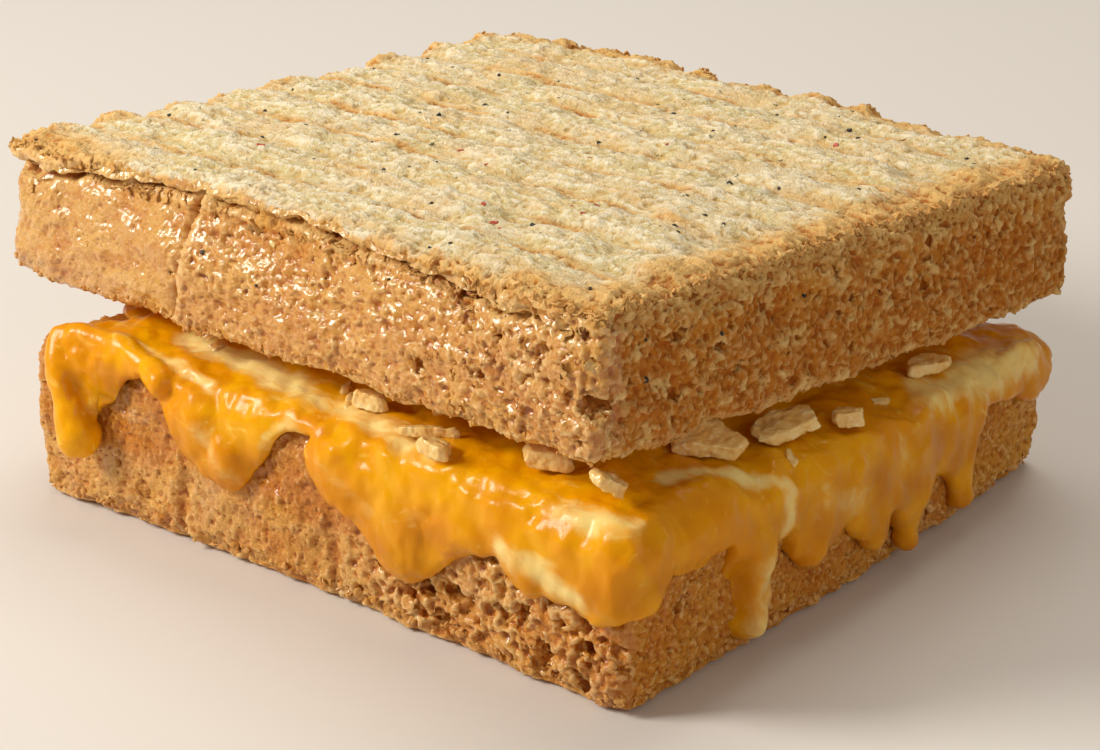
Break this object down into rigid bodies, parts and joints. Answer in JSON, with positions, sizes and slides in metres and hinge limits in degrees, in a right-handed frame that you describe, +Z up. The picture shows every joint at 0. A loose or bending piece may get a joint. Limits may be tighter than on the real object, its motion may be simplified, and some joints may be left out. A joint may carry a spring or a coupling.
{
  "type": "grilled cheese sandwich",
  "caption": "Grilled cheese sandwich: two thick square slices of toasted bread with melted cheese running over the lower slice in drips, dotted with chopped garlic.",
  "frame": {"origin": "on the surface that the sandwich rests on, under the middle of its bounding box", "axes": "+Z up; +X along the grill marks of the upper slice, towards the side with the small cheese runs; -Y towards the front side with the large drips"},
  "size_m": [0.1268, 0.1152, 0.0551],
  "materials": {
    "toasted_bread": "porous toasted bread crust, satin with butter on the front side",
    "grilled_crumb": "matte pale toasted crumb with faint brown grill marks, brown crust round the sides",
    "melted_cheese": "glossy melted cheese, orange-yellow marbled with cream",
    "garlic_flesh": "moist translucent pale yellow garlic"
  },
  "bodies": {
    "root": {"lower_slice": "toasted_bread", "upper_slice": "grilled_crumb", "cheese": "melted_cheese", "garlic_1": "garlic_flesh", "garlic_2": "garlic_flesh", "garlic_3": "garlic_flesh", "garlic_4": "garlic_flesh", "garlic_5": "garlic_flesh", "garlic_6": "garlic_flesh", "garlic_7": "garlic_flesh", "garlic_8": "garlic_flesh", "garlic_9": "garlic_flesh"}
  },
  "joints": []
}
